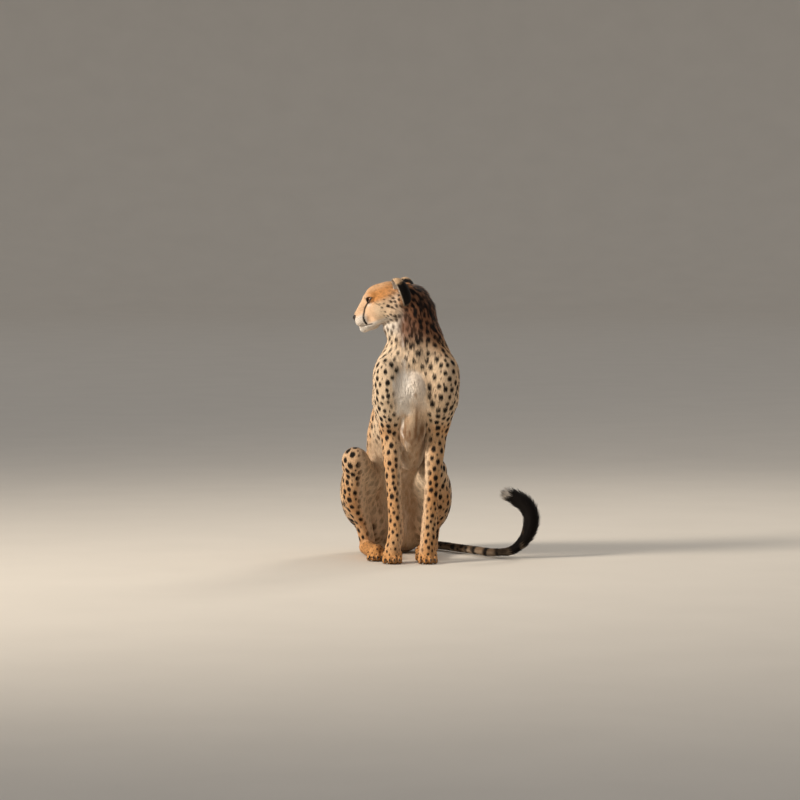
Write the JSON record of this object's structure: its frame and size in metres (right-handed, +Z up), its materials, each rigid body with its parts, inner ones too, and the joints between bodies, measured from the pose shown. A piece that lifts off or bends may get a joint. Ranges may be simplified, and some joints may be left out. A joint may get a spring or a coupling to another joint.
{
  "type": "sitting cheetah",
  "caption": "Life-size still model of a cheetah sitting upright on its haunches, head turned to its right, spotted coat, tail laid out and curled up at the end.",
  "frame": {"origin": "on the floor, under the middle of the whole model's bounding box", "axes": "+Z up, -Y the way the chest faces, +X towards the animal's left, where the tail lies"},
  "size_m": [0.6312, 0.6044, 0.8884],
  "materials": {
    "spotted_coat": "short golden-tan coat with round black spots",
    "face_coat": "very short orange-tan coat with black tear stripes",
    "pale_spotted_coat": "longer cream coat on the breast, spotted at the sides",
    "foot_coat": "short orange-tan coat with small spots",
    "dark_ear_coat": "black coat behind the ear, with a pale rim",
    "ringed_tail_coat": "spots that join into dark rings, and a white tip",
    "nose_leather": "dark, slightly moist bare skin",
    "eye_amber": "wet amber iris with a round pupil",
    "claw_horn": "dark, semi-gloss horn"
  },
  "bodies": {
    "root": {"head": "face_coat", "neck": "spotted_coat", "chest": "pale_spotted_coat", "hindquarters": "spotted_coat", "tail_1": "ringed_tail_coat", "tail_2": "ringed_tail_coat", "tail_3": "ringed_tail_coat", "tail_4": "ringed_tail_coat", "tail_5": "ringed_tail_coat", "eye_left": "eye_amber", "ear_left": "dark_ear_coat", "upper_arm_left": "spotted_coat", "forearm_left": "spotted_coat", "forepaw_left": "foot_coat", "thigh_left": "spotted_coat", "shank_left": "spotted_coat", "hind_foot_left": "foot_coat", "eye_right": "eye_amber", "ear_right": "dark_ear_coat", "upper_arm_right": "spotted_coat", "forearm_right": "spotted_coat", "forepaw_right": "foot_coat", "thigh_right": "spotted_coat", "shank_right": "spotted_coat", "hind_foot_right": "foot_coat", "nose": "nose_leather", "claw_fore_left_1": "claw_horn", "claw_fore_left_2": "claw_horn", "claw_fore_left_3": "claw_horn", "claw_fore_left_4": "claw_horn", "claw_fore_right_1": "claw_horn", "claw_fore_right_2": "claw_horn", "claw_fore_right_3": "claw_horn", "claw_fore_right_4": "claw_horn", "claw_hind_left_1": "claw_horn", "claw_hind_left_2": "claw_horn", "claw_hind_left_3": "claw_horn", "claw_hind_left_4": "claw_horn", "claw_hind_right_1": "claw_horn", "claw_hind_right_2": "claw_horn", "claw_hind_right_3": "claw_horn", "claw_hind_right_4": "claw_horn"}
  },
  "joints": []
}
